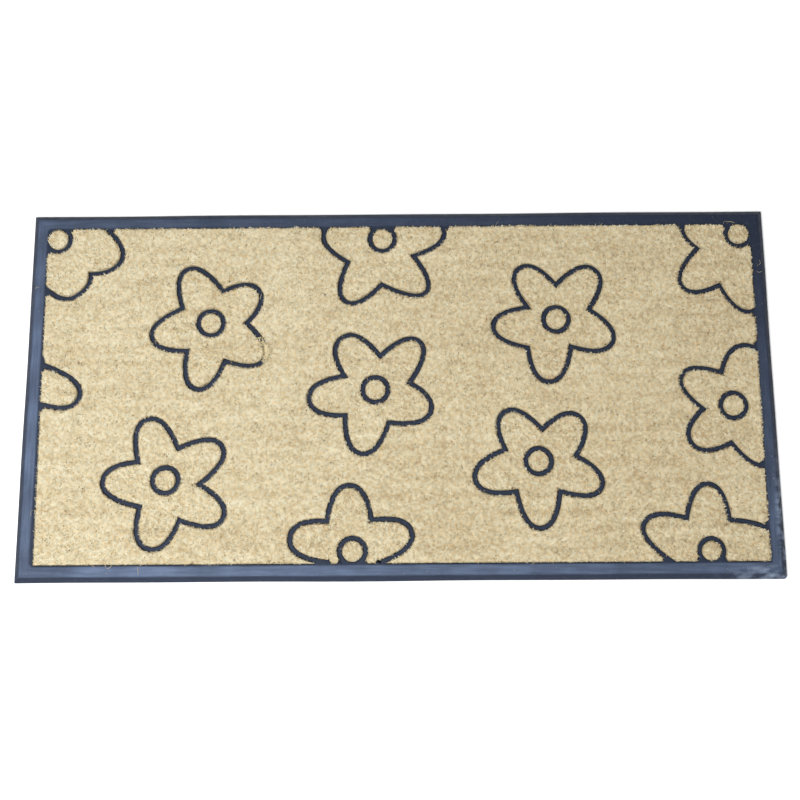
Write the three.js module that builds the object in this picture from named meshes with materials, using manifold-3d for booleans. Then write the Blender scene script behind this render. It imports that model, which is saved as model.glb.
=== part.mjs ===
// Door mat: a moulded rubber tray with a bevelled border and raised flower outlines.
// Cut-pile coir is bonded into each pocket between the ribs and stands above them.
// The origin is at the middle of the underside; +X runs along the length and +Z is up.
import * as THREE from "three";
import { mergeVertices } from "three/addons/utils/BufferGeometryUtils.js";
import Module from "manifold-3d";

const wasm = await Module();
wasm.setup();

// ---- Sizes, in millimetres ----
const mat = { length: 900, width: 450 };

// Heights above the floor.
const base_thickness = 3; // rubber under the coir
const rim_height = 3; // upright outer edge, below the bevel
const rib_top = 9.5; // border and ribs
const pile_top = 15; // cut ends of the coir

// Across the mat.
const bevel_width = 6.5;
const rib_width = 6;
const ring_radius = 15.2; // middle of the rib round each flower's centre
const fillet_reach = 6; // rubber left in an acute corner, where a rib runs into the border
const clearance = 0.3; // between the coir and the rubber

// From the outer edge to the coir. The coir lies a little out of square in the border.
const border = {
  top: 20.5,
  bottom: 20.5,
  left_top: 20.5,
  left_bottom: 24,
  right_top: 19,
  right_bottom: 20.5,
};

const corner_radius = { bottom_left: 1.5, bottom_right: 4, top_right: 1.5, top_left: 1.5 };
const least_corner = 0.5; // radius left on a corner once the bevel has cut into it

// How finely curves are faceted.
const corner_steps = 2; // doubled on an arc
const petal_steps = 6; // along one side of a petal
const ring_steps = 24;

// ---- Flowers ----
// The drawing suits a field of this size, and is reduced to fit a smaller one.
const drawn_field = { length: 858, width: 409 };

// anchor is the place that the flower keeps to, from the middle (0) to the edges (-1, 1) of the field.
// offset is from there to the flower's centre.
// Each petal is [notch before it, tip, half breadth], from the flower's centre, and they run clockwise.
// ring is the radius of the rib round the centre, where it differs from the others.
// Where the border cuts a flower, the petals beyond it only carry the outline round.
const flowers = [
  {
    place: "top_left",
    anchor: [-1, 1],
    offset: [12, -13],
    petals: [
      [[51, 20], [79, -26], 19],
      [[42, -44], [25, -72], 23],
      [[-24, -50], [-68, -34], 22],
      [[-40, 6], [-45, 62], 22],
      [[-2, 44], [46, 66], 22],
    ],
  },
  {
    place: "upper_left",
    anchor: [-0.5, 0.5],
    offset: [-12, -18],
    petals: [
      [[-35, 19], [-31, 68], 19],
      [[14, 40], [57, 41], 19],
      [[43, 0], [65, -45], 18],
      [[18, -47], [-16, -81], 19],
      [[-28, -34], [-71, -17], 18],
    ],
  },
  {
    place: "top_middle",
    anchor: [0, 1],
    offset: [-19, -15],
    petals: [
      [[37, 20], [75, 12], 21],
      [[38, -22], [53, -68], 16],
      [[-1, -58], [-45, -79], 18],
      [[-42, -29], [-71, 10], 20],
      [[-35, 22], [3, 78], 22],
    ],
  },
  {
    place: "upper_right",
    anchor: [0.5, 0.5],
    offset: [-24, -16],
    petals: [
      [[-34, 15], [-43, 64], 21],
      [[1, 43], [49, 62], 21],
      [[40, 12], [67, -29], 20],
      [[17, -34], [-11, -77], 20],
      [[-35, -35], [-76, -8], 18],
    ],
  },
  {
    place: "top_right",
    anchor: [1, 1],
    offset: [-12, -12],
    petals: [
      [[24, -35], [12, -98], 21],
      [[-27, -65], [-72, -66], 19],
      [[-51, -18], [-64, 19], 21],
      [[-37, 26], [-18, 74], 22],
      [[14, 40], [70, 12], 22],
    ],
  },
  {
    place: "left_edge",
    anchor: [-1, 0],
    offset: [-30, 10],
    petals: [
      [[32, 24], [77, -16], 22],
      [[29, -23], [-4, -78], 20],
      [[-16, -38], [-66, -40], 22],
      [[-42, 2], [-60, 50], 22],
      [[-10, 42], [-6, 80], 20],
    ],
  },
  {
    place: "middle",
    anchor: [0, 0],
    offset: [-28, 1],
    petals: [
      [[-37, 17], [-40, 64], 22],
      [[6, 41], [53, 59], 19],
      [[41, 8], [66, -27], 19],
      [[16, -40], [-17, -77], 20],
      [[-36, -31], [-79, -11], 21],
    ],
  },
  {
    place: "right_edge",
    anchor: [1, 0],
    offset: [-31, -21],
    petals: [
      [[-12, 40], [22, 73], 25],
      [[45, 30], [78, 6], 22],
      [[48, -18], [40, -71], 22],
      [[-5, -45], [-52, -45], 21],
      [[-36, -4], [-59, 37], 18],
    ],
  },
  {
    place: "lower_left",
    anchor: [-0.5, -0.5],
    offset: [-61, -4],
    petals: [
      [[-33, 22], [-24, 73], 21],
      [[14, 38], [66, 40], 20],
      [[40, -5], [69, -45], 20],
      [[18, -47], [-18, -80], 22],
      [[-29, -31], [-74, -1], 20],
    ],
  },
  {
    place: "lower_right",
    anchor: [0.5, -0.5],
    offset: [-50, 16],
    petals: [
      [[-39, 14], [-39, 59], 19],
      [[5, 38], [50, 53], 20],
      [[44, 6], [73, -31], 19],
      [[24, -36], [0, -79], 19],
      [[-27, -36], [-75, -22], 21],
    ],
  },
  {
    place: "bottom_middle",
    anchor: [0, -1],
    offset: [-55, 14],
    petals: [
      [[-33, -12], [-73, 16], 22],
      [[-30, 35], [-4, 77], 20],
      [[22, 36], [69, 22], 20],
      [[35, -12], [41, -70], 22],
      [[1, -42], [-45, -66], 22],
    ],
  },
  {
    place: "bottom_right",
    anchor: [1, -1],
    offset: [-67, 12],
    ring: 14.2,
    petals: [
      [[-37, -19], [-77, 32], 20],
      [[-27, 38], [0, 78], 19],
      [[23, 36], [83, 8], 23],
      [[39, -39], [43, -84], 22],
      [[-1, -46], [-45, -64], 22],
    ],
  },
];

// ---- Materials ----
const rubber = new THREE.MeshStandardMaterial({ color: 0x414956, roughness: 0.6, metalness: 0 });
const coir = new THREE.MeshStandardMaterial({ color: 0xcfc09a, roughness: 1, metalness: 0 });

// ---- Outlines in plan ----
function rectangleOutline(length, width, radius) {
  const x = length / 2;
  const y = width / 2;
  const shape = new THREE.Shape();
  const arc = (cx, cy, r, from) => shape.absarc(cx, cy, r, from, from + Math.PI / 2, false);
  arc(-x + radius.bottom_left, -y + radius.bottom_left, radius.bottom_left, Math.PI);
  arc(x - radius.bottom_right, -y + radius.bottom_right, radius.bottom_right, -Math.PI / 2);
  arc(x - radius.top_right, y - radius.top_right, radius.top_right, 0);
  arc(-x + radius.top_left, y - radius.top_left, radius.top_left, Math.PI / 2);
  return withoutRepeats(shape.getPoints(corner_steps));
}

// The edge of the coir, as the four corners of the border's inner edge.
function fieldOutline() {
  const x = mat.length / 2;
  const top = mat.width / 2 - border.top;
  const bottom = -mat.width / 2 + border.bottom;
  return [
    new THREE.Vector2(-x + border.left_top, top),
    new THREE.Vector2(x - border.right_top, top),
    new THREE.Vector2(x - border.right_bottom, bottom),
    new THREE.Vector2(-x + border.left_bottom, bottom),
  ];
}

function circleOutline(centre, radius) {
  return Array.from({ length: ring_steps }, (_, i) => {
    const angle = (-2 * Math.PI * i) / ring_steps;
    return new THREE.Vector2(Math.cos(angle), Math.sin(angle)).multiplyScalar(radius).add(centre);
  });
}

// Each side of a petal is one curve, which leaves the tip square to the petal's axis.
function flowerOutline(petals, centre, scale) {
  const point = ([x, y]) => new THREE.Vector2(x, y).multiplyScalar(scale).add(centre);
  const shape = new THREE.Shape();
  shape.moveTo(...point(petals[0][0]));
  petals.forEach(([notch, tip, half_breadth], i) => {
    const before = point(notch);
    const after = point(petals[(i + 1) % petals.length][0]);
    const end = point(tip);
    const axis = end.clone().sub(before.clone().lerp(after, 0.5)).normalize();
    const across = new THREE.Vector2(-axis.y, axis.x).multiplyScalar(half_breadth * scale);
    shape.quadraticCurveTo(...end.clone().add(across), ...end);
    shape.quadraticCurveTo(...end.clone().sub(across), ...after);
  });
  return withoutRepeats(shape.getPoints(petal_steps));
}

function withoutRepeats(points) {
  return points.filter((p, i) => p.distanceTo(points.at(i - 1)) > 1e-6);
}

// A closed clockwise outline moved outwards by a distance, with its corners mitred.
function offsetOutline(points, distance) {
  return points.map((p, i) => {
    const into = p.clone().sub(points.at(i - 1)).normalize();
    const out = points[(i + 1) % points.length].clone().sub(p).normalize();
    const normals = [into, out].map((d) => new THREE.Vector2(-d.y, d.x));
    const bisector = normals[0].clone().add(normals[1]).normalize();
    return p.clone().addScaledVector(bisector, distance / bisector.dot(normals[0]));
  });
}

// Where the sides a-b and c-d cross, or null.
function crossing(a, b, c, d) {
  const along = b.clone().sub(a);
  const across = d.clone().sub(c);
  const between = c.clone().sub(a);
  const slant = along.cross(across);
  const t = between.cross(across) / slant;
  const u = between.cross(along) / slant;
  return t >= 0 && t < 1 && u >= 0 && u < 1 ? a.clone().addScaledVector(along, t) : null;
}

// Clockwise triangles in the acute corners that a clockwise outline makes with the edge of the field.
// side is 1 for the corners outside the outline and -1 for those inside it.
function fillets(outline, side) {
  const corners = [];
  const edge = fieldOutline();
  edge.forEach((c, i) => {
    const d = edge[(i + 1) % edge.length];
    const border_way = d.clone().sub(c).normalize();
    outline.forEach((a, j) => {
      const b = outline[(j + 1) % outline.length];
      const at = crossing(a, b, c, d);
      if (!at) return;
      // From the crossing, one leg follows the outline into the field and the other the border.
      const entering = border_way.cross(b.clone().sub(a)) < 0 ? 1 : -1;
      const rib_leg = b.clone().sub(a).normalize().multiplyScalar(entering);
      const turn = entering * side * Math.sign(rib_leg.cross(border_way));
      const border_leg = border_way.clone().multiplyScalar(turn);
      if (rib_leg.dot(border_leg) <= 0) return;
      const ends = [rib_leg, border_leg].map((leg) => at.clone().addScaledVector(leg, fillet_reach));
      corners.push(entering * side > 0 ? [at, ends[1], ends[0]] : [at, ...ends]);
    });
  });
  return corners;
}

// ---- Solids ----
function solidOf(geometry) {
  const bare = geometry.clone();
  bare.deleteAttribute("normal");
  bare.deleteAttribute("uv");
  const merged = mergeVertices(bare, 1e-4);
  return new wasm.Manifold(
    new wasm.Mesh({
      numProp: 3,
      vertProperties: merged.getAttribute("position").array,
      triVerts: new Uint32Array(merged.index.array),
    }),
  );
}

function prism(points, bottom, top) {
  const geometry = new THREE.ExtrudeGeometry(new THREE.Shape(points), {
    depth: top - bottom,
    bevelEnabled: false,
  });
  return solidOf(geometry.translate(0, 0, bottom));
}

// Joins outlines that have the same number of points, one above the other, and closes the ends.
function stack(levels) {
  const count = levels[0].points.length;
  const positions = levels.flatMap(({ points, z }) => points.flatMap((p) => [p.x, p.y, z]));
  const faces = [];
  for (let level = 0; level + 1 < levels.length; level += 1) {
    for (let i = 0; i < count; i += 1) {
      const a = level * count + i;
      const b = level * count + ((i + 1) % count);
      faces.push(a, b, b + count, a, b + count, a + count);
    }
  }
  const last = (levels.length - 1) * count;
  for (let i = 1; i + 1 < count; i += 1) {
    faces.push(0, i + 1, i, last, last + i, last + i + 1);
  }
  const geometry = new THREE.BufferGeometry();
  geometry.setAttribute("position", new THREE.Float32BufferAttribute(positions, 3));
  geometry.setIndex(faces);
  return solidOf(geometry);
}

// Slivers that a cut leaves in a corner stay rubber, so only the main body counts.
function mainBody(solid) {
  return solid.decompose().reduce((a, b) => (a.volume() > b.volume() ? a : b));
}

function addPiece(group, name, solid, material) {
  const made = solid.getMesh();
  const geometry = new THREE.BufferGeometry();
  geometry.setAttribute("position", new THREE.BufferAttribute(made.vertProperties, made.numProp));
  geometry.setIndex(new THREE.BufferAttribute(made.triVerts, 1));
  geometry.computeVertexNormals();
  const mesh = new THREE.Mesh(geometry, material);
  mesh.name = name;
  group.add(mesh);
}

// ---- The pattern at this mat's size ----
const left_border = (border.left_top + border.left_bottom) / 2;
const right_border = (border.right_top + border.right_bottom) / 2;
const half_field = {
  x: (mat.length - left_border - right_border) / 2,
  y: (mat.width - border.top - border.bottom) / 2,
};
const drawing_scale = Math.min(
  1,
  (2 * half_field.x) / drawn_field.length,
  (2 * half_field.y) / drawn_field.width,
);
const drawn_flowers = flowers.map(({ place, anchor, offset, petals, ring = ring_radius }) => {
  const centre = new THREE.Vector2(
    anchor[0] * half_field.x + offset[0] * drawing_scale,
    anchor[1] * half_field.y + offset[1] * drawing_scale,
  );
  return { place, centre, ring, outline: flowerOutline(petals, centre, drawing_scale) };
});

// What fills each pocket, standing off the ribs and the border by gap.
function pocketFillings(gap, bottom, top) {
  const half_rib = rib_width / 2;
  const column = (points) => prism(offsetOutline(points, gap), bottom, top);
  const whole = prism(offsetOutline(fieldOutline(), -gap), bottom, top);
  const less = (solid, outline) =>
    [outline, ...fillets(outline, 1)].reduce((cut, points) => cut.subtract(column(points)), solid);
  const fillings = [];
  let ground = whole;
  for (const { place, centre, ring, outline } of drawn_flowers) {
    const inside = offsetOutline(outline, -half_rib);
    const petals = fillets(inside, -1).reduce(
      (cut, points) => cut.subtract(column(points)),
      prism(offsetOutline(inside, -gap), bottom, top).intersect(whole),
    );
    const flower = less(petals, circleOutline(centre, ring + half_rib));
    const disc = prism(circleOutline(centre, ring - half_rib - gap), bottom, top).intersect(whole);
    ground = less(ground, offsetOutline(outline, half_rib));
    fillings.push({ name: "coir_flower_" + place, solid: mainBody(flower) });
    // A flower whose centre lies beyond the border has no coir in its ring.
    if (!disc.isEmpty()) {
      fillings.push({ name: "coir_centre_" + place, solid: mainBody(disc) });
    }
  }
  return [{ name: "coir_field", solid: mainBody(ground) }, ...fillings];
}

function bevelledBlock() {
  const outer = rectangleOutline(mat.length, mat.width, corner_radius);
  const inner_radius = Object.fromEntries(
    Object.entries(corner_radius).map(([corner, r]) => [corner, Math.max(r - bevel_width, least_corner)]),
  );
  const inner = rectangleOutline(
    mat.length - 2 * bevel_width,
    mat.width - 2 * bevel_width,
    inner_radius,
  );
  return stack([
    { points: outer, z: 0 },
    { points: outer, z: rim_height },
    { points: inner, z: rib_top },
  ]);
}

// ---- Assembly ----
const group = new THREE.Group();
const above_ribs = rib_top + 1;
const pockets = pocketFillings(0, base_thickness, above_ribs);
const tray = pockets.reduce((block, { solid }) => block.subtract(solid), bevelledBlock());
addPiece(group, "rubber_tray", tray, rubber);
for (const { name, solid } of pocketFillings(clearance, base_thickness + clearance, pile_top)) {
  addPiece(group, name, solid, coir.clone());
}

export default group;
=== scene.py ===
import bpy
import numpy as np
from mathutils import Euler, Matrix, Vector
from mathutils.geometry import delaunay_2d_cdt


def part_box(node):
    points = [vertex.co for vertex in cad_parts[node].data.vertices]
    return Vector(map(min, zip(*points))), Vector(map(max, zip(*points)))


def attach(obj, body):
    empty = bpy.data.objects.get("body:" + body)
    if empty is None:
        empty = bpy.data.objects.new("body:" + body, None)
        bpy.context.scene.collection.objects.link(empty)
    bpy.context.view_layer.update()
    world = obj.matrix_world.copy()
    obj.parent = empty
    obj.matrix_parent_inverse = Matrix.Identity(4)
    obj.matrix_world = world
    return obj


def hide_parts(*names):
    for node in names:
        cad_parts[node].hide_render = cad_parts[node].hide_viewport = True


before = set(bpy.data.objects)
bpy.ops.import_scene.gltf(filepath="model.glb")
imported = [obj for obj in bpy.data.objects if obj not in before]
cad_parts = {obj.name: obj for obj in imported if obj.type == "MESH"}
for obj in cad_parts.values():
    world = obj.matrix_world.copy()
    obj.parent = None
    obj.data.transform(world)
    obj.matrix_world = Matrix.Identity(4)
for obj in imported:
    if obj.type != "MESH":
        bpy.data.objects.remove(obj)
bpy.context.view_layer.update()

# ---- Camera, floor and light ----
# The mat is seen from straight above, a little from its near long side, on a plain white floor.
# One large soft lamp hangs over the near left corner, and a pale room fills the shadows.
CAMERA_PLACE = (0.0075, -0.2632, 1.3116)
CAMERA_TURN = (10.94, 0.337, -0.347)  # degrees about X, Y and Z
LENS_MM = 50
LAMP_PLACE = Vector((-0.9, -0.9, 1.9))
LAMP_SIZE = 1.5
LAMP_POWER = 62
ROOM_LIGHT = 0.62


def new_node(tree, kind, **settings):
    """Adds a node to a tree. A setting that is the node's own property is set; any other names an input."""
    node = tree.nodes.new(kind)
    for name, value in settings.items():
        if hasattr(node, name):
            setattr(node, name, value)
        else:
            node.inputs[name.replace("_", " ")].default_value = value
    return node


def make_camera():
    camera = bpy.data.cameras.new("camera")
    camera.lens = LENS_MM
    camera.clip_start = 0.01
    holder = bpy.data.objects.new("camera", camera)
    holder.location = CAMERA_PLACE
    holder.rotation_euler = Euler(np.radians(CAMERA_TURN), "XYZ")
    bpy.context.scene.collection.objects.link(holder)
    bpy.context.scene.camera = holder


def make_floor():
    bpy.ops.mesh.primitive_plane_add(size=12, location=(0, 0, -0.0002))
    floor = bpy.context.object
    floor.name = "floor"
    material = bpy.data.materials.new("white_floor")
    material.use_nodes = True
    shader = material.node_tree.nodes["Principled BSDF"]
    shader.inputs["Base Color"].default_value = (0.93, 0.93, 0.93, 1)
    shader.inputs["Roughness"].default_value = 0.9
    floor.data.materials.append(material)


def make_light():
    lamp = bpy.data.lights.new("key", "AREA")
    lamp.size = LAMP_SIZE
    lamp.energy = LAMP_POWER
    holder = bpy.data.objects.new("key", lamp)
    holder.location = LAMP_PLACE
    holder.rotation_euler = (-LAMP_PLACE).to_track_quat("-Z", "Y").to_euler()
    bpy.context.scene.collection.objects.link(holder)
    world = bpy.data.worlds.new("room")
    world.use_nodes = True
    world.node_tree.nodes["Background"].inputs["Strength"].default_value = ROOM_LIGHT
    world.node_tree.nodes["Background"].inputs["Color"].default_value = (1, 1, 1, 1)
    bpy.context.scene.world = world
    bpy.context.scene.view_settings.view_transform = "Standard"


make_camera()
make_floor()
make_light()

# ---- Rubber tray ----
# One compression moulding of black rubber: a bevelled border, ribs that draw the flowers and their rings,
# and a thin floor under the coir. Edges come out of the mould rounded, and the underside has a waffle grip.
MM = 0.001
BASE = 3.0
RIB_TOP = 9.5
CORNER_RADII = (1.5, 4.0, 1.5, 1.5)  # near left, near right, far right, far left
LEAST_RADIUS = 0.4
RIB_ROUNDING = 1.3
ROUNDING_STEPS = 4
OUTLINE_STEP = 1.8
SIDE_STEP = 4.0
SHARP_TURN = 42.0  # degrees; an outline that turns more than this keeps its corner
LONG_SIDE = 18.0  # a straight side longer than this stays straight
TIP_CUT = 2.2
FAR_POINTS = np.array([(-2e3, -2e3), (2e3, -2e3), (2e3, 2e3), (-2e3, 2e3)])
WHOLE_HULL = 0  # the kind of triangulation that fills everything inside its outermost points
MERGE_WITHIN = 1e-5
NO_POINTS = np.empty((0, 2))
# Inwards from the outer edge, and up: foot, rim, bevel, crease and the slightly crowned flat band.
BORDER_PROFILE = [
    (0.7, 0.0), (0.2, 0.2), (0.0, 0.7), (0.0, 2.5), (0.3, 3.1), (0.9, 3.8), (2.5, 5.4), (4.3, 7.2),
    (5.6, 8.5), (6.3, 9.1), (7.1, 9.45), (8.4, 9.6), (11.0, 9.62), (14.0, 9.55), (16.6, 9.5),
]
GRIP_MARGIN = 6.0
GRIP_CELL = 15.0
GRIP_WALL = 3.0
GRIP_SLOPE = 0.8
GRIP_DEPTH = 0.9

TOP_STRAY = 0.18
EDGE_STRAY = 0.5
EDGE_FADE = 12.0  # how far in from the outer edge it stops wavering
BLACK_RUBBER = (0.013, 0.019, 0.036, 1)
# Blue-grey of the dust bloom on the band, which also carries a painted sheen of the lamp by side.
DUST_BLOOM_AND_SHEEN = (0.14, 0.19, 0.3, 1)
SCUFFED_RUBBER = (0.3, 0.37, 0.5, 1)
WORN_RIM = (0.2, 0.22, 0.26, 1)
DUST_SPECK = (0.3, 0.3, 0.3, 1)

low, high = (np.array(corner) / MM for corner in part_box("rubber_tray"))
HALF_LENGTH, HALF_WIDTH = high[:2]


def level_loops(node, height):
    """The closed outlines, in plan, of the flat face that a CAD node has at one height, in millimetres.
    They are the edges that only one triangle of the face uses, walked end to end with the face on their
    left."""
    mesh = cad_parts[node].data
    mesh.calc_loop_triangles()
    places = np.empty(len(mesh.vertices) * 3)
    mesh.vertices.foreach_get("co", places)
    corners = np.empty(len(mesh.loop_triangles) * 3, np.int32)
    mesh.loop_triangles.foreach_get("vertices", corners)
    grid, same = np.unique(np.round(places.reshape(-1, 3) / MM, 3), axis=0, return_inverse=True)
    triangles = same.ravel()[corners].reshape(-1, 3)
    level = triangles[(np.abs(grid[triangles, 2] - height) < 0.01).all(1)]
    starts = level.ravel()
    ends = np.roll(level, -1, 1).ravel()
    alone = ~np.isin(starts * len(grid) + ends, ends * len(grid) + starts)
    following = dict(zip(starts[alone].tolist(), ends[alone].tolist()))
    loops = []
    while following:
        first, at = following.popitem()
        walk = [first]
        while at != first:
            walk.append(at)
            at = following.pop(at)
        loops.append(grid[walk, :2])
    return sorted(loops, key=lambda loop: tuple(loop.mean(0)))


def smooth_run(points, step, closed):
    """A curve through points, as places about one step apart, without its last place.
    Each stretch is a cubic whose slopes are the central differences of place by distance along the points."""
    if closed:
        points = np.concatenate([points[-3:], points, points[:4]])
    along = np.concatenate([[0], np.cumsum(np.linalg.norm(np.diff(points, axis=0), axis=1))])
    slopes = np.gradient(points, along, axis=0)
    first, last = (along[3], along[-4]) if closed else (along[0], along[-1])
    places = np.linspace(first, last, max(2, round((last - first) / step) + 1))[:-1]
    stretch = np.clip(np.searchsorted(along, places, side="right") - 1, 0, len(along) - 2)
    length = (along[stretch + 1] - along[stretch])[:, None]
    t = (places - along[stretch])[:, None] / length
    begin = (2 * t + 1) * (t - 1) ** 2 * points[stretch] + t * (t - 1) ** 2 * length * slopes[stretch]
    end = t * t * (3 - 2 * t) * points[stretch + 1] + t * t * (t - 1) * length * slopes[stretch + 1]
    return begin + end


def smooth_loop(points, step):
    """A closed outline made smooth: it is cut at its sharp corners and at the ends of its long straight
    sides, and smooth_run carries a curve through each stretch between the cuts."""
    points = points[np.linalg.norm(points - np.roll(points, 1, 0), axis=1) > 0.25]
    into = points - np.roll(points, 1, 0)
    out = np.roll(into, -1, 0)
    turn = np.arctan2(into[:, 0] * out[:, 1] - into[:, 1] * out[:, 0], (into * out).sum(1))
    longest = np.maximum(np.linalg.norm(into, axis=1), np.linalg.norm(out, axis=1))
    cuts = np.flatnonzero((np.abs(turn) > np.radians(SHARP_TURN)) | (longest > LONG_SIDE))
    if not len(cuts):
        return smooth_run(points, step, True)
    points = np.roll(points, -cuts[0], 0)
    ends = [*(cuts - cuts[0]), len(points)]
    around = np.concatenate([points, points[:1]])
    return np.concatenate([smooth_run(around[a:b + 1], step, False) for a, b in zip(ends[:-1], ends[1:])])


def inset(points, distance):
    """A closed outline moved to its left by a distance: each point goes along the bisector of the normals of
    its two sides, by the distance over the cosine of half their turn, which stays above a limit at sharp
    corners."""
    into = points - np.roll(points, 1, 0)
    into /= np.linalg.norm(into, axis=1)[:, None]
    out = np.roll(into, -1, 0)
    bisector = into + out
    bisector /= np.linalg.norm(bisector, axis=1)[:, None]
    cosine = np.maximum((bisector * into).sum(1), 0.62)
    return points + (distance / cosine)[:, None] * np.stack([-bisector[:, 1], bisector[:, 0]], 1)


def inside_count(places, loops):
    """How many sides of the loops a half-line to the right of each place crosses. The count is odd inside a
    loop and even in a hole in it."""
    starts = np.concatenate(loops)
    ends = np.concatenate([np.roll(loop, -1, 0) for loop in loops])
    slant = (ends[:, 0] - starts[:, 0]) / np.where(ends[:, 1] == starts[:, 1], 1, ends[:, 1] - starts[:, 1])
    counts = []
    for part in np.array_split(places, max(1, len(places) // 2000)):
        x, y = part[:, :1], part[:, 1:]
        spans = (starts[:, 1] > y) != (ends[:, 1] > y)
        counts.append((spans & (x < starts[:, 0] + (y - starts[:, 1]) * slant)).sum(1))
    return np.concatenate(counts)


def triangulate(loops, extra):
    """Delaunay triangles that keep the sides of closed loops and use extra points too, with four far points
    round them all so that no sliver lies along a straight side. Returns the points, the triangles by the
    number of each corner, and the places where sides cross or lie on each other: crossings, which have no
    number, and the middles of the sides that no triangle has as its own."""
    points = np.concatenate([*loops, extra, FAR_POINTS])
    first = np.cumsum([0] + [len(loop) for loop in loops])
    starts = np.arange(first[-1])
    ends = starts + 1
    ends[first[1:] - 1] = first[:-1]
    sides = np.stack([starts, ends], 1).tolist()
    corners = [Vector(point) for point in points.tolist()]
    places, _, faces, origins, _, _ = delaunay_2d_cdt(corners, sides, [], WHOLE_HULL, MERGE_WITHIN, True)
    numbers = np.array([ids[0] if ids else -1 for ids in origins])
    crossings = np.array([tuple(place) for place in places])[numbers < 0]
    triangles = numbers[np.array(faces)]
    following = np.roll(triangles, -1, 1)
    edges = np.concatenate([triangles * len(points) + following, following * len(points) + triangles])
    split = ~np.isin(starts * len(points) + ends, edges)
    crossings = np.concatenate([crossings, (points[starts[split]] + points[ends[split]]) / 2])
    return points, triangles, crossings


def fill(loops, extra=NO_POINTS):
    """The triangles inside the loops and outside their holes: those from whose middle a half-line to the
    right crosses an odd number of the loops' sides."""
    points, triangles, _ = triangulate(loops, extra)
    return triangles[inside_count(points[triangles].mean(1), loops) % 2 == 1]


def reaches(loops, around, distance):
    """How far each point of each loop can be inset, up to a distance, so that no inset sides cross. Where
    they do, the points near a crossing go six tenths as far, until none is left."""
    found = [np.full(len(loop), distance) for loop in loops]
    for _ in range(12):
        crossings = triangulate([*around, *map(inset, loops, found)], NO_POINTS)[2]
        if not len(crossings):
            break
        for loop, reach in zip(loops, found):
            gaps = np.linalg.norm(loop[:, None] - crossings, axis=2).min(1)
            reach[gaps < 2.5 * distance] *= 0.6
    return found


def blunt(loops):
    """The loops cut short at their sharpest tips, where a loop's two sides cross: points near a crossing are
    taken out until no sides cross."""
    for _ in range(8):
        crossings = triangulate(loops, NO_POINTS)[2]
        if not len(crossings):
            break
        loops = [loop[np.linalg.norm(loop[:, None] - crossings, axis=2).min(1) > TIP_CUT] for loop in loops]
    return loops


def strip(first, count, rows):
    """Faces that join closed rows of count points each, one above the other. They face to the right of the
    rows."""
    i = np.arange(count)
    j = (i + 1) % count
    base = first + count * np.arange(rows - 1)[:, None]
    quads = np.stack([base + i, base + j, base + j + count, base + i + count], -1)
    return quads.reshape(-1, 4)


def mesh_object(name, places, quads, triangles, material, smooth=True):
    """An object from places in millimetres and faces of four and three corners."""
    mesh = bpy.data.meshes.new(name)
    corners = np.concatenate([quads.ravel(), triangles.ravel()]).astype(np.int32)
    starts = np.concatenate([4 * np.arange(len(quads)), 4 * len(quads) + 3 * np.arange(len(triangles))])
    mesh.vertices.add(len(places))
    mesh.vertices.foreach_set("co", (places * MM).astype(np.float32).ravel())
    mesh.loops.add(len(corners))
    mesh.loops.foreach_set("vertex_index", corners)
    mesh.polygons.add(len(starts))
    mesh.polygons.foreach_set("loop_start", starts.astype(np.int32))
    mesh.polygons.foreach_set("use_smooth", np.full(len(starts), smooth))
    mesh.materials.append(material)
    mesh.update(calc_edges=True)
    made = bpy.data.objects.new(name, mesh)
    bpy.context.scene.collection.objects.link(made)
    return made


def rounded_rectangle(distance):
    """The mat's outer edge moved in by a distance, anticlockwise from the near left corner: each corner is an
    arc, and each side a straight row of points. Every distance gives the same number of points."""
    angles = np.radians(np.linspace(0, 90, 6))
    parts = []
    sides = [(-1, -1, 180), (1, -1, 270), (1, 1, 0), (-1, 1, 90)]
    for (sx, sy, start), radius in zip(sides, CORNER_RADII):
        r = max(radius - distance, LEAST_RADIUS)
        centre = np.array([sx * (HALF_LENGTH - distance - r), sy * (HALF_WIDTH - distance - r)])
        turn = angles + np.radians(start)
        parts.append(centre + r * np.stack([np.cos(turn), np.sin(turn)], 1))
    counts = [round(2 * half / SIDE_STEP) for half in (HALF_LENGTH, HALF_WIDTH)] * 2
    points = []
    for arc, nxt, count in zip(parts, parts[1:] + parts[:1], counts):
        share = np.linspace(0, 1, count + 1)[1:-1, None]
        points += [arc, arc[-1] + share * (nxt[0] - arc[-1])]
    return np.concatenate(points)


def ripple(x, y):
    """How far moulded rubber strays from true, up to about 1: a sum of long sine waves across the mat."""
    first = np.sin(x / 71 + 1.3 * np.sin(y / 93)) + np.sin(x / 38 - y / 57 + 2)
    return (first + 0.7 * np.sin(y / 29 + 0.8 * np.sin(x / 83))) / 2.7


def grip_surface(half_length, half_width):
    """The waffle underside on a grid: lines come in fours at each wall, and between walls the face is sunk by
    the grip's depth. Returns its places, quads and the anticlockwise border of the grid."""
    axes = []
    for half in (half_length, half_width):
        cells = int(2 * half // GRIP_CELL)
        edges = np.linspace(-half, half, cells + 1)
        wall, slope = GRIP_WALL / 2, GRIP_WALL / 2 + GRIP_SLOPE
        lines = np.stack([edges[:-1] + wall, edges[:-1] + slope, edges[1:] - slope, edges[1:] - wall], 1)
        sunk = np.tile([0, 1, 1, 0], cells)
        axes.append((np.concatenate([[-half], lines.ravel(), [half]]), np.concatenate([[0], sunk, [0]])))
    (xs, sunk_x), (ys, sunk_y) = axes
    x, y = np.meshgrid(xs, ys)
    z = GRIP_DEPTH * np.outer(sunk_y, sunk_x)
    i = np.arange(len(ys) - 1)[:, None] * len(xs) + np.arange(len(xs) - 1)
    quads = np.stack([i, i + len(xs), i + len(xs) + 1, i + 1], -1).reshape(-1, 4)
    number = np.arange(len(xs) * len(ys)).reshape(len(ys), len(xs))
    border = np.concatenate([number[0, :-1], number[:-1, -1], number[-1, :0:-1], number[:0:-1, 0]])
    return np.stack([x, y, z], -1).reshape(-1, 3), quads, border


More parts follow.
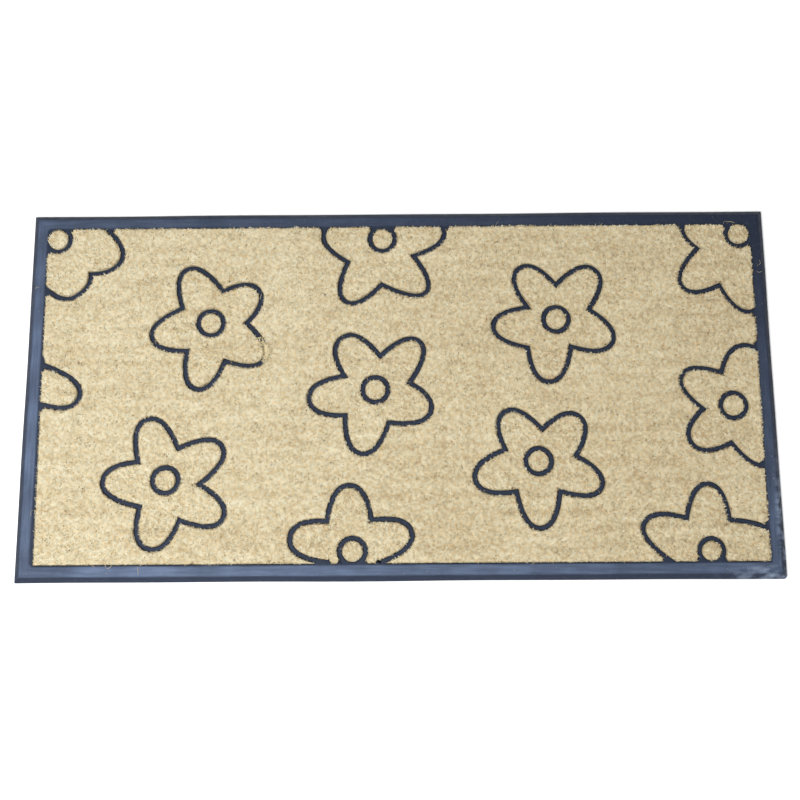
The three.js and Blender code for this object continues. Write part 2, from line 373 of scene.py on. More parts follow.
def rubber_material():
    """Black rubber with a blue-grey bloom of dust, streaked along the border, with a painted sheen that
    brightens the band along the near and left sides, scuffed paler on its edges, and a fine moulded grain."""
    material = bpy.data.materials.new("rubber")
    material.use_nodes = True
    tree = material.node_tree
    link = tree.links.new
    shader = tree.nodes["Principled BSDF"]
    shader.inputs["Specular IOR Level"].default_value = 0.15
    place = new_node(tree, "ShaderNodeTexCoord").outputs["Object"]
    border = new_node(tree, "ShaderNodeAttribute", attribute_name="border_place").outputs["Vector"]
    apart = new_node(tree, "ShaderNodeSeparateXYZ")
    link(border, apart.inputs[0])

    def noise(vector, scale, detail, stretch=(1, 1, 1), roughness=0.5):
        mapping = new_node(tree, "ShaderNodeMapping", Scale=stretch)
        texture = new_node(tree, "ShaderNodeTexNoise", Scale=scale, Detail=detail, Roughness=roughness)
        link(vector, mapping.inputs["Vector"])
        link(mapping.outputs["Vector"], texture.inputs["Vector"])
        return texture.outputs["Fac"]

    def levels(value, low_in, high_in, low_out=0.0, high_out=1.0):
        node = new_node(
            tree, "ShaderNodeMapRange", From_Min=low_in, From_Max=high_in, To_Min=low_out, To_Max=high_out
        )
        link(value, node.inputs["Value"])
        return node.outputs["Result"]

    def combine(operation, a, b):
        node = new_node(tree, "ShaderNodeMath", operation=operation)
        for socket, value in zip(node.inputs, (a, b)):
            if isinstance(value, (int, float)):
                socket.default_value = value
            else:
                link(value, socket)
        return node.outputs[0]

    def blend(fraction, under, over):
        node = new_node(tree, "ShaderNodeMix", data_type="RGBA")
        link(fraction, node.inputs["Factor"])
        for socket, value in zip((node.inputs[6], node.inputs[7]), (under, over)):
            if isinstance(value, tuple):
                socket.default_value = value
            else:
                link(value, socket)
        return node.outputs[2]

    spot = new_node(tree, "ShaderNodeSeparateXYZ")
    link(place, spot.inputs[0])
    right, up = spot.outputs["X"], spot.outputs["Y"]
    inwards = apart.outputs["Y"]
    streaks = levels(noise(border, 60, 3, (0.4, 5, 1)), 0.36, 0.66, 0.72, 1.16)
    clouds = levels(noise(place, 28, 5), 0.33, 0.7, 0.7, 1.2)
    specks = levels(noise(place, 700, 2), 0.62, 0.74)
    # Dust bloom and painted sheen: the bloom lies on the flat band, and a painted reflection of the lamp
    # makes it brightest along the near and left sides, but less at the corner between them.
    weight_by_place = combine("ADD", levels(up, -0.22, 0.22, 0.6, 0.2), levels(right, -0.44, 0.44, 0.1, -0.23))
    off_bevel = levels(inwards, 0.0055, 0.008, 0.08, 1)
    on_band = combine("MULTIPLY", off_bevel, levels(inwards, 0.0195, 0.0175, 0.1, 1))
    near_corner = combine("MULTIPLY", levels(right, -0.33, -0.42), levels(up, -0.08, -0.2))
    weight_by_place = combine("SUBTRACT", weight_by_place, combine("MULTIPLY", near_corner, 0.26))
    on_top = levels(spot.outputs["Z"], 0.001, 0.003)
    bloom_and_sheen = combine("MULTIPLY", combine("MULTIPLY", weight_by_place, on_band), combine("MULTIPLY", streaks, clouds))
    bloom_and_sheen = combine("MULTIPLY", bloom_and_sheen, on_top)
    colour = blend(bloom_and_sheen, BLACK_RUBBER, DUST_BLOOM_AND_SHEEN)
    # Scuffs: at the near right corner and up the right side, and specks and a worn rim all round.
    corner = combine("MULTIPLY", levels(right, 0.36, 0.43), levels(up, -0.207, -0.214))
    side = combine("MULTIPLY", levels(right, 0.438, 0.443), levels(up, -0.06, -0.15))
    patches = levels(noise(place, 120, 4, (0.5, 1, 1)), 0.42, 0.68)
    worn = combine("MULTIPLY", combine("MAXIMUM", corner, side), patches)
    worn = combine("MULTIPLY", combine("MULTIPLY", worn, on_top), 0.55)
    colour = blend(worn, colour, SCUFFED_RUBBER)
    rim = combine("MULTIPLY", levels(inwards, 0.0016, 0.0006), levels(noise(place, 160, 4), 0.5, 0.66))
    colour = blend(combine("MULTIPLY", rim, 0.1), colour, WORN_RIM)
    colour = blend(combine("MULTIPLY", specks, 0.15), colour, DUST_SPECK)
    link(colour, shader.inputs["Base Color"])
    link(levels(noise(place, 90, 4), 0.3, 0.7, 0.5, 0.68), shader.inputs["Roughness"])
    lines = combine("MULTIPLY", noise(border, 240, 3, (0.12, 3, 1)), 0.8)
    grain = combine("ADD", noise(place, 1500, 2), lines)
    bump = new_node(tree, "ShaderNodeBump", Strength=0.5, Distance=0.00012)
    link(grain, bump.inputs["Height"])
    link(bump.outputs["Normal"], shader.inputs["Normal"])
    return material


def make_tray():
    """The tray as one closed surface: border profile, tops of the border and ribs, pocket walls with rounded
    edges, pocket floors and the grip underneath."""
    loops = level_loops("rubber_tray", RIB_TOP)
    widest = max(range(len(loops)), key=lambda k: np.ptp(loops[k][:, 0]))
    pockets = blunt([smooth_loop(loop, OUTLINE_STEP) for k, loop in enumerate(loops) if k != widest])
    parts, quads, triangles, made = [], [], [], 0

    def add(places):
        nonlocal made
        parts.append(places)
        made += len(places)
        return made - len(places)

    def at(points, height):
        return np.column_stack([points, np.full(len(points), height)])

    # The border, from its foot up to its inner edge.
    rectangles = [rounded_rectangle(distance) for distance, _ in BORDER_PROFILE]
    around = len(rectangles[0])
    border = np.concatenate([at(p, z) for p, (_, z) in zip(rectangles, BORDER_PROFILE)])
    first = add(border)
    quads.append(strip(first, around, len(rectangles)))
    tops = [rectangles[-1]]
    top_numbers = [first + (len(rectangles) - 1) * around + np.arange(around)]

    # Pocket walls, which round over into the rib.
    floors, floor_numbers = [], []
    bends = np.radians(np.linspace(0, 90, ROUNDING_STEPS + 1))
    for pocket, reach in zip(pockets, reaches(pockets, tops, RIB_ROUNDING)):
        rows = [at(pocket, BASE)]
        for bend in bends:
            level = RIB_TOP - RIB_ROUNDING * (1 - np.sin(bend))
            rows.append(at(inset(pocket, reach * (1 - np.cos(bend))), level))
        first = add(np.concatenate(rows))
        quads.append(strip(first, len(pocket), len(rows)))
        floors.append(pocket)
        floor_numbers.append(first + np.arange(len(pocket)))
        tops.append(rows[-1][:, :2])
        top_numbers.append(first + (len(rows) - 1) * len(pocket) + np.arange(len(pocket)))

    triangles.append(np.concatenate(top_numbers)[fill(tops)])
    triangles.append(np.concatenate(floor_numbers)[fill(floors)])

    # The underside.
    grid, cells, edge = grip_surface(HALF_LENGTH - GRIP_MARGIN, HALF_WIDTH - GRIP_MARGIN)
    first = add(grid)
    quads.append(first + cells)
    numbers = np.concatenate([np.arange(around), first + edge])
    triangles.append(numbers[fill([rectangles[0], grid[edge, :2]])][:, ::-1])

    # Moulded rubber isn't quite true: its top rises and falls, and its outer edge wavers inwards.
    places = np.concatenate(parts)
    across = np.minimum(HALF_LENGTH - np.abs(places[:, 0]), HALF_WIDTH - np.abs(places[:, 1]))
    on_side = HALF_LENGTH - np.abs(places[:, 0]) < HALF_WIDTH - np.abs(places[:, 1])
    along = np.where(on_side, places[:, 1] + 1000, places[:, 0])
    lift = np.clip(places[:, 2] / RIB_TOP, 0, 1)
    stray = ripple(places[:, 0], places[:, 1])
    places[:, 2] += TOP_STRAY * stray * lift
    fade = np.clip(1 - across / EDGE_FADE, 0, 1)
    places[:, 0] -= np.where(on_side, np.sign(places[:, 0]) * EDGE_STRAY * (1 + stray) * fade, 0)
    places[:, 1] -= np.where(on_side, 0, np.sign(places[:, 1]) * EDGE_STRAY * (1 + stray) * fade)
    quads, triangles = np.concatenate(quads), np.concatenate(triangles)
    tray = mesh_object("rubber_tray_moulding", places, quads, triangles, rubber_material())
    tray.data.set_sharp_from_angle(angle=np.radians(50))
    mark = tray.data.attributes.new("border_place", "FLOAT_VECTOR", "POINT")
    mark.data.foreach_set("vector", (np.stack([along, across, 0 * along], 1) * MM).astype(np.float32).ravel())
    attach(tray, "root")
    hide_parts("rubber_tray")


make_tray()

# ---- Coir ----
# Coconut fibre packed and cut level in every pocket of the tray. Each insert is a bed of matted fibre, with
# stiff bristles that stand out of it, lean this way and that, and spread a little over the ribs at the edges.
COIR_BOTTOM = 3.3
COIR_TOP = 15.0
BED_TOP = 12.6
BED_STEP = 2.5
BED_GRID_IN = 3.4  # how far in from the edge the points of the bed's top begin
BED_SHOULDER = [(0.0, -1.8), (0.4, -0.8), (1.0, -0.25), (2.0, 0.0)]  # in from the edge, and down from the top
MAP_PITCH = 0.5
BRISTLE_PITCH = 0.98
BRISTLE_FOOT = 10.4
TUFT_PITCH = 2.2
RIM_STEP = 0.6
RIM_INSET = 0.5
ROW_PITCH = 20.0  # the rows in which the fibre was laid
FIELD_STRIPS = 6
TUFT_CONTRAST = 0.27
FIBRE_CONTRAST = 0.19
DARK_TUFT = -0.93  # tufts below this, of tones from -1 to 1, are of husk
HUSK_DARKER = 0.32
# Where the pile is flattened over a rib: x, y and reach.
TRODDEN_OVER = [
    (-162, 57, 6), (-160, 45, 6), (-357, 170, 8), (344, 144, 10), (402, 122, 8), (343, 8, 10), (298, -182, 9),
    (-305, -30, 7), (-115, -28, 7), (88, 62, 7),
]

# From brown husk to cream fibre, then the foot of a bristle, browned by dust and painted shade, and the two
# casts of different batches.
FIBRE_COLOURS = [
    (0.0, (0.16, 0.105, 0.05)), (0.25, (0.38, 0.28, 0.15)), (0.5, (0.60, 0.52, 0.33)),
    (0.75, (0.78, 0.73, 0.53)), (1.0, (0.93, 0.91, 0.79)),
]
FOOT_DIRT_AND_SHADE = (0.27, 0.21, 0.125, 1)
COOL_CAST = (0.945, 1.005, 1.09, 1)
WARM_CAST = (1.06, 0.99, 0.92, 1)

rng = np.random.default_rng(12)
inserts = sorted(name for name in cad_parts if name.startswith("coir_"))
insert_loops = {
    name: [smooth_loop(loop, OUTLINE_STEP) for loop in level_loops(name, COIR_TOP)] for name in inserts
}


def value_noise(x, y, cell, seed):
    """Smooth noise from -1 to 1: random values at the corners of square cells, eased into each other by a
    cubic."""
    table = np.random.default_rng(seed).uniform(-1, 1, (64, 64))
    u, v = x / cell + 1000, y / cell + 1000
    i, j = np.floor(u).astype(int), np.floor(v).astype(int)
    s, t = u - i, v - j
    s, t = s * s * (3 - 2 * s), t * t * (3 - 2 * t)
    a, b, c, d = (table[(j + dj) % 64, (i + di) % 64] for dj in (0, 1) for di in (0, 1))
    return (a * (1 - s) + b * s) * (1 - t) + (c * (1 - s) + d * s) * t


def coir_tone(x, y):
    """How pale the coir is at a place, from 0, brown, to 1, cream: paler towards the left, which is painted
    light from the lamp on that side, with faint rows from when it was laid, and soft blotches."""
    rows = np.sin(2 * np.pi * (y / ROW_PITCH + 0.35 * value_noise(x, y, 90, 1)))
    streak = value_noise(x / 5, y, 7, 2)
    blotch = 0.6 * value_noise(x, y, 45, 3) + 0.4 * value_noise(x, y, 17, 4)
    # The term in x is painted light: the coir is paler on the left, nearer the lamp.
    return 0.59 - 0.056 * x / HALF_LENGTH + 0.026 * rows + 0.048 * streak + 0.048 * blotch


def coir_material():
    """Matt straw-coloured fibre. The map's first coordinate says how pale a fibre is, and its second how far
    up the bristle a place is: feet are browner, from dust and from painted shade where the bristles crowd."""
    material = bpy.data.materials.new("coir")
    material.use_nodes = True
    tree = material.node_tree
    link = tree.links.new
    shader = tree.nodes["Principled BSDF"]
    shader.inputs["Roughness"].default_value = 0.85
    shader.inputs["Specular IOR Level"].default_value = 0.25
    shader.inputs["Sheen Weight"].default_value = 0.0
    where = new_node(tree, "ShaderNodeUVMap", uv_map="OFBake")
    apart = new_node(tree, "ShaderNodeSeparateXYZ")
    link(where.outputs["UV"], apart.inputs[0])
    ramp = new_node(tree, "ShaderNodeValToRGB")
    stops = ramp.color_ramp.elements
    for _ in FIBRE_COLOURS[2:]:
        stops.new(0.5)
    for stop, (position, colour) in zip(stops, FIBRE_COLOURS):
        stop.position = position
        stop.color = (*colour, 1)
    link(apart.outputs["X"], ramp.inputs["Fac"])
    # Towards the foot the colour goes up to halfway to the foot colour: dust, and painted shade down among
    # the bristles.
    height = new_node(tree, "ShaderNodeMapRange", From_Min=0.0, From_Max=0.7, To_Min=0.5, To_Max=0.0)
    link(apart.outputs["Y"], height.inputs["Value"])
    foot_dirt_and_shade = new_node(tree, "ShaderNodeMix", data_type="RGBA")
    link(height.outputs["Result"], foot_dirt_and_shade.inputs["Factor"])
    place = new_node(tree, "ShaderNodeTexCoord")
    batch = new_node(tree, "ShaderNodeTexNoise", Scale=300.0, Detail=3.0, Roughness=0.65)
    link(place.outputs["Object"], batch.inputs["Vector"])
    redder = new_node(tree, "ShaderNodeMapRange", From_Min=0.36, From_Max=0.64)
    link(batch.outputs["Fac"], redder.inputs["Value"])
    cast = new_node(tree, "ShaderNodeMix", data_type="RGBA")
    link(redder.outputs["Result"], cast.inputs["Factor"])
    cast.inputs[6].default_value = COOL_CAST
    cast.inputs[7].default_value = WARM_CAST
    tinted = new_node(tree, "ShaderNodeMix", data_type="RGBA", blend_type="MULTIPLY")
    tinted.inputs["Factor"].default_value = 1.0
    link(cast.outputs[2], tinted.inputs[7])
    link(ramp.outputs["Color"], foot_dirt_and_shade.inputs[6])
    foot_dirt_and_shade.inputs[7].default_value = FOOT_DIRT_AND_SHADE
    link(foot_dirt_and_shade.outputs[2], tinted.inputs[6])
    link(tinted.outputs[2], shader.inputs["Base Color"])
    return material


def set_map(made, u, v):
    """Gives a mesh the map that its material reads, from values at its vertices."""
    corners = np.empty(len(made.data.loops), np.int32)
    made.data.loops.foreach_get("vertex_index", corners)
    layer = made.data.uv_layers.new(name="OFBake")
    layer.data.foreach_set("uv", np.stack([u, v], 1)[corners].astype(np.float32).ravel())


def plan_maps():
    """Maps of the mat from above, MAP_PITCH apart: which insert lies at each place (-1 for none), how far it
    is from the edge of its insert, and the way towards that edge. An insert fills the places with an odd
    number of its loops' sides to the left; the distance grows inwards from the edge by the least step to a
    neighbour."""
    xs = np.arange(-HALF_LENGTH, HALF_LENGTH + MAP_PITCH, MAP_PITCH)
    ys = np.arange(-HALF_WIDTH, HALF_WIDTH + MAP_PITCH, MAP_PITCH) + 0.01
    insert = np.full((len(ys), len(xs)), -1)
    for k, name in enumerate(inserts):
        starts = np.concatenate(insert_loops[name])
        ends = np.concatenate([np.roll(loop, -1, 0) for loop in insert_loops[name]])
        row_low = np.ceil((np.minimum(starts[:, 1], ends[:, 1]) - ys[0]) / MAP_PITCH).astype(int)
        row_high = np.ceil((np.maximum(starts[:, 1], ends[:, 1]) - ys[0]) / MAP_PITCH).astype(int)
        spans = row_high - row_low
        side = np.repeat(np.arange(len(starts)), spans)
        row = np.repeat(row_low, spans) + np.arange(spans.sum()) - np.repeat(np.cumsum(spans) - spans, spans)
        share = (ys[row] - starts[side, 1]) / (ends[side, 1] - starts[side, 1])
        cross = starts[side, 0] + share * (ends[side, 0] - starts[side, 0])
        flips = np.zeros(insert.shape, int)
        np.add.at(flips, (row, np.ceil((cross - xs[0]) / MAP_PITCH).astype(int)), 1)
        insert[np.cumsum(flips, 1) % 2 == 1] = k
    depth = np.where(insert >= 0, 99.0, 0.0)
    for _ in range(16):
        framed = np.pad(depth, 1)
        height, width = depth.shape
        for dy in (0, 1, 2):
            for dx in (0, 1, 2):
                step = MAP_PITCH * np.hypot(dx - 1, dy - 1)
                depth = np.minimum(depth, framed[dy:dy + height, dx:dx + width] + step)
    depth = np.where(insert >= 0, np.minimum(depth, 8.0), 0)
    soft = depth.copy()
    for _ in range(3):
        beside = np.roll(soft, 1, 0) + np.roll(soft, -1, 0) + np.roll(soft, 1, 1) + np.roll(soft, -1, 1)
        soft = (soft + beside) / 5
    down_y, down_x = np.gradient(-soft, MAP_PITCH)
    size = np.maximum(np.hypot(down_x, down_y), 0.2)
    return insert, depth, down_x / size, down_y / size


def scattered_feet():
    """A foot for each bristle: the crossings of a square grid, each moved at random within its cell, and a
    closer row just inside the edge of each insert."""
    x, y = np.meshgrid(
        np.arange(-HALF_LENGTH, HALF_LENGTH, BRISTLE_PITCH), np.arange(-HALF_WIDTH, HALF_WIDTH, BRISTLE_PITCH)
    )
    inner = np.stack([x, y], -1).reshape(-1, 2) + rng.uniform(0, BRISTLE_PITCH, (x.size, 2))
    loops = [loop for name in inserts for loop in insert_loops[name]]
    rim = np.concatenate([inset(smooth_loop(loop, RIM_STEP), np.array([RIM_INSET])) for loop in loops])
    return np.concatenate([inner, rim + rng.uniform(-0.3, 0.3, rim.shape)]).T


def tufts(x, y):
    """The tuft that each place belongs to, on a square grid whose lines wander by value noise. Returns the
    way from the place to the tuft's middle, across and up, and three random values from -1 to 1 that the
    tuft shares."""
    wander_x, wander_y = 1.1 * value_noise(x, y, 5, 21), 1.1 * value_noise(x, y, 5, 22)
    column = np.floor((x + wander_x) / TUFT_PITCH).astype(int)
    row = np.floor((y + wander_y) / TUFT_PITCH).astype(int)
    shared = np.random.default_rng(23).uniform(-1, 1, (5, 512, 512))[:, row % 512, column % 512]
    middle_x = (column + 0.5 + 0.3 * shared[3]) * TUFT_PITCH - wander_x
    middle_y = (row + 0.5 + 0.3 * shared[4]) * TUFT_PITCH - wander_y
    return middle_x - x, middle_y - y, shared[:3]


def bristles(x, y, lean_x, lean_y, tip, tone, thick):
    """One thin spike for each foot: three corners evenly round the foot, at a random turn, and a tip that
    stands over the foot plus the lean. Returns places, triangles and the two coordinates of their map."""
    count = len(x)
    turn = rng.uniform(0, 2 * np.pi, count)[:, None] + np.array([0, 2, 4]) * np.pi / 3
    places = np.empty((count, 4, 3))
    places[:, :3, 0] = x[:, None] + thick[:, None] * np.cos(turn)
    places[:, :3, 1] = y[:, None] + thick[:, None] * np.sin(turn)
    places[:, :3, 2] = BRISTLE_FOOT
    places[:, 3] = np.stack([x + lean_x, y + lean_y, tip], 1)
    faces = 4 * np.arange(count)[:, None, None] + np.array([[0, 1, 3], [1, 2, 3], [2, 0, 3], [2, 1, 0]])
    u = np.clip(tone[:, None] + np.array([-0.004, 0.004, 0, 0]), 0.01, 0.99)
    # The feet sit at the bottom of the map's second coordinate, so the material browns them with dust and
    # painted shade.
    v = np.broadcast_to([0.0, 0.02, 0.04, 1.0], (count, 4))
    return places.reshape(-1, 3), faces.reshape(-1, 3), u.ravel(), v.ravel()


def bed(name):
    """The matted bed of one insert: a wall, a shoulder that curves in, and a lumpy top over a grid of points.
    Returns places, quads, triangles and the two coordinates of its map."""
    loops = insert_loops[name]
    parts, quads, tops, top_numbers, low_numbers, made = [], [], [], [], [], 0
    for loop, reach in zip(loops, reaches(loops, [], BED_SHOULDER[-1][0])):
        rows = [(0.0, COIR_BOTTOM - BED_TOP), *BED_SHOULDER]
        share = reach / BED_SHOULDER[-1][0]
        stack = [np.column_stack([inset(loop, d * share), np.full(len(loop), BED_TOP + z)]) for d, z in rows]
        parts += stack
        quads.append(strip(made, len(loop), len(rows)))
        low_numbers.append(made + np.arange(len(loop)))
        tops.append(stack[-1][:, :2])
        made += len(loop) * len(rows)
        top_numbers.append(made - len(loop) + np.arange(len(loop)))
    lowest, highest = np.concatenate(loops).min(0), np.concatenate(loops).max(0)
    x, y = np.meshgrid(*(np.arange(a, b, BED_STEP) for a, b in zip(lowest, highest)))
    inner = np.stack([x.ravel(), y.ravel()], 1) + rng.uniform(-0.8, 0.8, (x.size, 2))
    row, column = (
        np.round((inner[:, k] + half) / MAP_PITCH).astype(int).clip(0, size - 1)
        for k, half, size in ((1, HALF_WIDTH, depth_map.shape[0]), (0, HALF_LENGTH, depth_map.shape[1]))
    )
    inner = inner[(insert_map[row, column] == inserts.index(name)) & (depth_map[row, column] > BED_GRID_IN)]
    parts.append(np.column_stack([inner, np.full(len(inner), BED_TOP)]))
    top_numbers.append(made + np.arange(len(inner)))
    top = np.concatenate(top_numbers)[fill(tops, inner)]
    under = np.concatenate(low_numbers)[fill(loops)][:, ::-1]
    places = np.concatenate(parts)
    lump = 0.4 * value_noise(places[:, 0], places[:, 1], 6, 7) + 0.6 * rng.uniform(-1, 1, len(places))
    places[:, 2] += np.where(places[:, 2] > BED_TOP - 2, lump, 0)
    # The bed is a little lower in tone, and its second map coordinate of 0.12 gives it most of the feet's
    # browning: dust, and painted shade under the bristles.
    u = coir_tone(places[:, 0], places[:, 1]) - 0.05 + 0.18 * rng.uniform(-1, 1, len(places))
    return places, np.concatenate(quads), np.concatenate([top, under]), u, np.full(len(places), 0.12)


def make_coir():
    coir = coir_material()
    x, y = scattered_feet()
    row = np.round((y + HALF_WIDTH) / MAP_PITCH).astype(int).clip(0, depth_map.shape[0] - 1)
    column = np.round((x + HALF_LENGTH) / MAP_PITCH).astype(int).clip(0, depth_map.shape[1] - 1)
    edge = depth_map[row, column]
    keep = (insert_map[row, column] >= 0) & (edge > 0.2)
    x, y, row, column, edge = (a[keep] for a in (x, y, row, column, edge))
    owner = insert_map[row, column]
    near_edge = np.exp(-edge / 1.2)
    count = len(x)
    to_x, to_y, (tuft_tone, tuft_height, tuft_lean) = tufts(x, y)
    disc = np.array([name.startswith("coir_centre") for name in inserts])[owner]
    # How much the pile is trodden flat over the ribs near the places listed in TRODDEN_OVER.
    weight_by_place = sum(np.exp(-((x - u) ** 2 + (y - v) ** 2) / 2 / r**2) for u, v, r in TRODDEN_OVER)
    spread = near_edge * np.where(disc, 0.6, 1.1 + 0.9 * value_noise(x, y, 24, 14) + 1.6 * weight_by_place)
    lean_x = 0.6 * to_x + 0.5 * tuft_lean + rng.normal(0, 0.4, count) + spread * out_x[row, column]
    lean_y = 0.6 * to_y + 0.5 * tuft_height + rng.normal(0, 0.4, count) + spread * out_y[row, column]
    tip = COIR_TOP - 0.9 + 0.95 * tuft_height + rng.uniform(-0.6, 0.3, count) - 0.3 * near_edge
    tone = coir_tone(x, y) + TUFT_CONTRAST * tuft_tone + rng.normal(0, FIBRE_CONTRAST, count) + 0.025
    tone -= HUSK_DARKER * (tuft_tone < DARK_TUFT)
    thick = rng.uniform(0.34, 0.6, count)
    values = np.stack([x, y, lean_x, lean_y, tip, tone, thick])
    for k, name in enumerate(inserts):
        places, quads, triangles, u, v = bed(name)
        if name == "coir_field":
            made = mesh_object("coir_field_bed", places, quads, triangles, coir)
            set_map(made, np.clip(u, 0.01, 0.99), v)
            finish_coir(made, name)
            bounds = np.linspace(-HALF_WIDTH, HALF_WIDTH, FIELD_STRIPS + 1)
            for s, (a, b) in enumerate(zip(bounds[:-1], bounds[1:])):
                chosen = (owner == k) & (y >= a) & (y < b)
                spikes, faces, su, sv = bristles(*values[:, chosen])
                piece = f"coir_field_bristle_{s + 1}"
                strip_made = mesh_object(piece, spikes, np.empty((0, 4)), faces, coir, False)
                set_map(strip_made, su, sv)
                finish_coir(strip_made, name)
            continue
        spikes, faces, su, sv = bristles(*values[:, owner == k])
        triangles = np.concatenate([triangles, faces + len(places)])
        made = mesh_object(name + "_bristle", np.concatenate([places, spikes]), quads, triangles, coir, False)
        set_map(made, np.clip(np.concatenate([u, su]), 0.01, 0.99), np.concatenate([v, sv]))
        finish_coir(made, name)


def finish_coir(made, name):
    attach(made, "root")
    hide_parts(name)


insert_map, depth_map, out_x, out_y = plan_maps()
make_coir()

# ---- Loose coir ----
# Fibres that have worked out of the pile and lie on the border and across the ribs, one wad of them trodden
# down over a petal's rib, and crumbs of coir dust. Nothing holds them but the pile they are caught in.
FIBRE_JOINTS = 9
FINE_FIBRE = 0.14
COARSE_FIBRE = 0.3
# x, y, heading and curl in degrees, length, and half thickness of those that show most.
LOOSE_FIBRES = [
    (413, 205, 105, 150, 16, 0.14), (404, 204, 70, -110, 12, 0.13), (437, 151, 25, 80, 10, 0.16),
    (436, 146, -35, 60, 8, 0.16), (-343, -204, -50, 120, 15, 0.2), (-302, -205, -125, 60, 11, 0.2),
    (-168, 113, 60, 40, 8, 0.25), (-164, 97, 80, 30, 7, 0.3),
    (-436, 132, 170, 60, 7, 0.14), (120, 204, 95, -70, 8, 0.13), (-428, -140, 200, 90, 9, 0.14),
    (-160, 60, -72, -20, 10, 0.4), (-156, 55, -108, 15, 12, 0.5), (-153, 54, -104, -12, 11, 0.45),
    (-166, 66, -50, -20, 7, 0.4),
]
STRAY_FIBRES = 60
WAD_FIBRES = 190
WAD_PLACE = (-159, 46)
WAD_REACH = (1.9, 7.0)  # across and along the rib
CRUMBS = 36


def lie_of(x, y):
    """Height of what a loose fibre lies on: the border's profile near the outer edge, the pile's top over an
    insert, and the rib's top between inserts."""
    distance = np.minimum(HALF_LENGTH - np.abs(x), HALF_WIDTH - np.abs(y))
    row = np.round((y + HALF_WIDTH) / MAP_PITCH).astype(int).clip(0, insert_map.shape[0] - 1)
    column = np.round((x + HALF_LENGTH) / MAP_PITCH).astype(int).clip(0, insert_map.shape[1] - 1)
    return np.where(
        distance < BORDER_PROFILE[-1][0], np.interp(distance, *np.transpose(BORDER_PROFILE[3:])),
        np.where(insert_map[row, column] >= 0, COIR_TOP - 0.5, RIB_TOP + 1),
    )


def fibre_tubes(starts, headings, curls, lengths, radii):
    """Thin four-sided tubes, one for each fibre. Along each, the heading turns evenly by the curl and wavers
    by a sine, the place is the running sum of short steps along the heading, and the height is that of what
    it lies on, averaged with its neighbours, with a low arch. The radius tapers to both ends."""
    count = len(starts)
    share = np.linspace(0, 1, FIBRE_JOINTS)
    heading = headings[:, None] + curls[:, None] * share + 0.4 * np.sin(7 * share + np.arange(count)[:, None])
    step = lengths[:, None] / (FIBRE_JOINTS - 1)
    middle = np.empty((count, FIBRE_JOINTS, 3))
    for k, along in ((0, np.cos(heading)), (1, np.sin(heading))):
        middle[..., k] = starts[:, k, None] + np.cumsum(along * step, 1)
    height = lie_of(middle[..., 0], middle[..., 1])
    for _ in range(3):
        beside = np.pad(height, ((0, 0), (1, 1)), "edge")
        mean = (beside[:, :-2] + height + beside[:, 2:]) / 3
        height = np.maximum(lie_of(middle[..., 0], middle[..., 1]), mean)
    middle[..., 2] = height + radii[:, None] + 0.4 * np.sin(np.pi * share)
    radius = radii[:, None] * (0.35 + 0.65 * np.sin(np.pi * share))
    turn = np.arange(4) * np.pi / 2
    places = np.repeat(middle[:, :, None], 4, 2)
    places[..., 0] -= radius[..., None] * np.cos(turn) * np.sin(heading)[..., None]
    places[..., 1] += radius[..., None] * np.cos(turn) * np.cos(heading)[..., None]
    places[..., 2] += radius[..., None] * np.sin(turn)
    number = 4 * FIBRE_JOINTS * np.arange(count)[:, None, None] + 4 * np.arange(FIBRE_JOINTS - 1)[:, None]
    i, j = np.arange(4), np.array([1, 2, 3, 0])
    walls = np.stack([number + i, number + j, number + j + 4, number + i + 4], -1).reshape(-1, 4)
    near = 4 * FIBRE_JOINTS * np.arange(count)[:, None] + np.array([3, 2, 1, 0])
    return places.reshape(-1, 3), np.concatenate([walls, near, near[:, ::-1] + 4 * (FIBRE_JOINTS - 1)])


def crumb_grains(centres, sizes):
    """One small eight-sided grain for each centre: six corners along the axes, at half the grain's size times
    a random factor. Returns places and triangles."""
    corners = np.array([[1, 0, 0], [0, 1, 0], [0, 0, 1], [-1, 0, 0], [0, -1, 0], [0, 0, -1]])
    reach = sizes[:, None, None] * rng.uniform(0.6, 1.2, (len(centres), 6, 1)) / 2
    faces = np.array([[0, 1, 2], [1, 3, 2], [3, 4, 2], [4, 0, 2], [1, 0, 5], [3, 1, 5], [4, 3, 5], [0, 4, 5]])
    numbers = 6 * np.arange(len(centres))[:, None, None] + faces
    return (centres[:, None] + reach * corners).reshape(-1, 3), numbers.reshape(-1, 3)


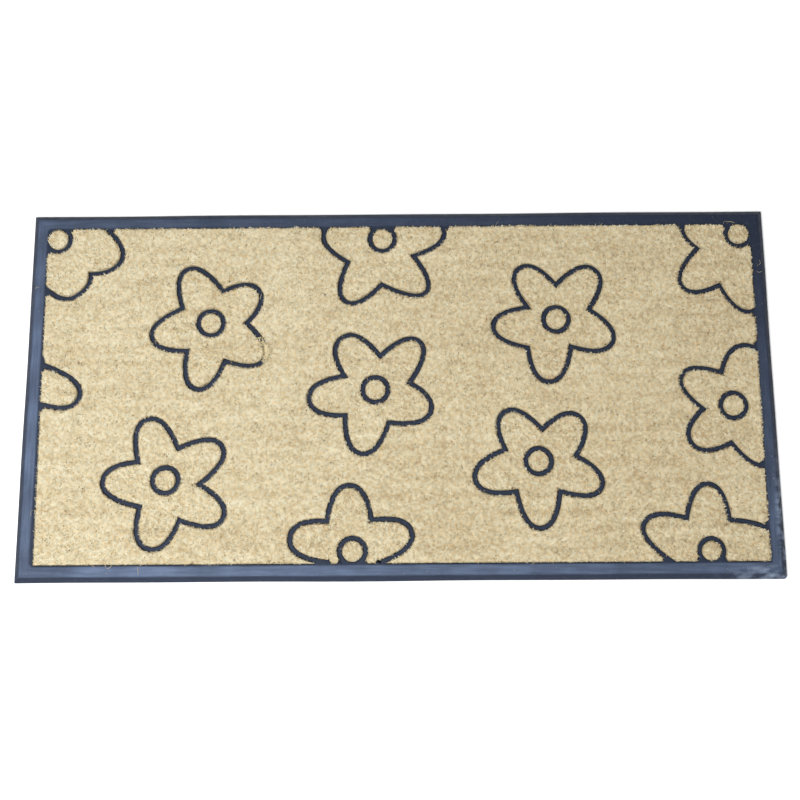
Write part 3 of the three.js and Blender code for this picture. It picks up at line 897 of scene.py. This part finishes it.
def make_loose_coir():
    x, y, heading, curl, length, radius = np.array(LOOSE_FIBRES, float).T
    groups = [(np.stack([x, y], 1), np.radians(heading), np.radians(curl), length, radius, 1.0)]

    # Strays: from the edges of the inserts, outwards.
    loops = [loop for name in inserts for loop in insert_loops[name]]
    edges = np.concatenate(loops)
    ahead = np.concatenate([np.roll(loop, -1, 0) - loop for loop in loops])
    pick = rng.choice(len(edges), STRAY_FIBRES, replace=False)
    outwards = np.arctan2(-ahead[pick, 0], ahead[pick, 1]) + rng.normal(0, 0.8, STRAY_FIBRES)
    lengths = rng.uniform(3, 6, STRAY_FIBRES)
    thin = np.full(STRAY_FIBRES, FINE_FIBRE)
    groups.append((edges[pick], outwards, rng.normal(0, 1, STRAY_FIBRES), lengths, thin, 0.85))

    # The wad: along the outer bend of one petal's rib.
    up = rng.normal(4, WAD_REACH[1], WAD_FIBRES).clip(-9, 19)
    across = rng.normal(0, WAD_REACH[0], WAD_FIBRES) - 6 * (up / 15) ** 2
    turned = rng.normal(0, 0.9, WAD_FIBRES)
    lengths = rng.uniform(4, 7.5, WAD_FIBRES)
    middles = np.stack([WAD_PLACE[0] + across, WAD_PLACE[1] + up], 1)
    starts = middles - 0.5 * lengths[:, None] * np.stack([np.cos(turned), np.sin(turned)], 1)
    thick = np.full(WAD_FIBRES, COARSE_FIBRE)
    groups.append((starts, turned, rng.normal(0, 0.4, WAD_FIBRES), lengths, thick, 0.6))

    tubes, quads = fibre_tubes(*(np.concatenate([group[k] for group in groups]) for k in range(5)))
    fibre_tone = np.concatenate([tone + rng.normal(0, 0.12, len(starts)) for starts, *_, tone in groups])
    corners = rounded_rectangle(0)
    across = rng.uniform(8, 16, CRUMBS)[:, None] / np.array([HALF_LENGTH, HALF_WIDTH])
    centres = corners[rng.choice(len(corners), CRUMBS)] * (1 - across)
    grains, triangles = crumb_grains(
        np.column_stack([centres, lie_of(*centres.T) + 0.2]), rng.uniform(0.4, 1.0, CRUMBS)
    )
    places, triangles = np.concatenate([tubes, grains]), triangles + len(tubes)
    made = mesh_object("loose_coir", places, quads, triangles, bpy.data.materials["coir"])
    crumb_tone = rng.uniform(0.3, 0.7, CRUMBS)
    tone = np.concatenate([np.repeat(fibre_tone, 4 * FIBRE_JOINTS), np.repeat(crumb_tone, 6)])
    corner = np.arange(len(tone))
    set_map(made, np.clip(tone + 0.01 * (corner % 3 - 1), 0.01, 0.99), 0.9 + 0.02 * (corner % 5))
    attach(made, "root")


make_loose_coir()
